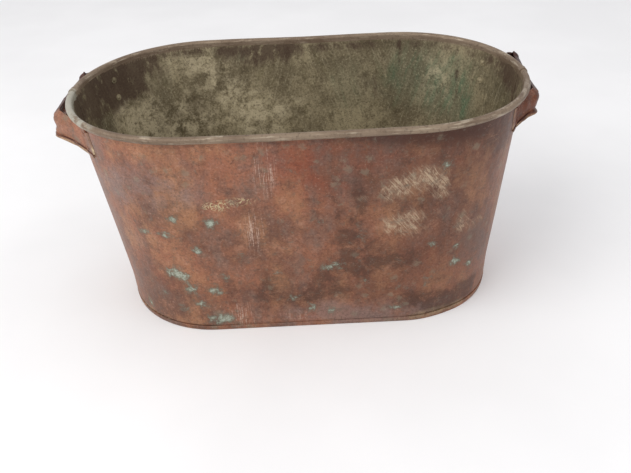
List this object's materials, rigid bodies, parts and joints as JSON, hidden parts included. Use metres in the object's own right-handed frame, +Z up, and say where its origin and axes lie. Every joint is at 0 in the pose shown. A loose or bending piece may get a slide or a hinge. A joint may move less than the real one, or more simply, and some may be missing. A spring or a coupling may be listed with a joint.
{
  "type": "laundry copper boiler",
  "caption": "Open oval copper wash boiler: leaning walls on a flat seamed base, thick wired rim and a riveted strap handle at each end.",
  "frame": {"origin": "on the floor under the middle of the base", "axes": "+X along the length to the right end, +Y from front to back, +Z up to the open rim"},
  "size_m": [0.6358, 0.344, 0.3169],
  "materials": {
    "copper_sheet": "aged matt copper patina",
    "iron_wire": "rusted",
    "copper_rivet": "aged matt",
    "tin_solder": "dull, oxidised"
  },
  "bodies": {
    "root": {"front_wall_sheet": "copper_sheet", "back_wall_sheet": "copper_sheet", "base_pan": "copper_sheet", "left_handle_strap": "copper_sheet", "right_handle_strap": "copper_sheet", "rim_wire": "iron_wire", "left_handle_front_rivets": "copper_rivet", "left_handle_front_burrs": "copper_rivet", "left_handle_back_rivets": "copper_rivet", "left_handle_back_burrs": "copper_rivet", "right_handle_front_rivets": "copper_rivet", "right_handle_front_burrs": "copper_rivet", "right_handle_back_rivets": "copper_rivet", "right_handle_back_burrs": "copper_rivet", "base_seam_solder": "tin_solder", "left_seam_solder": "tin_solder", "right_seam_solder": "tin_solder", "left_handle_front_solder": "tin_solder", "left_handle_back_solder": "tin_solder", "right_handle_front_solder": "tin_solder", "right_handle_back_solder": "tin_solder"}
  },
  "joints": []
}
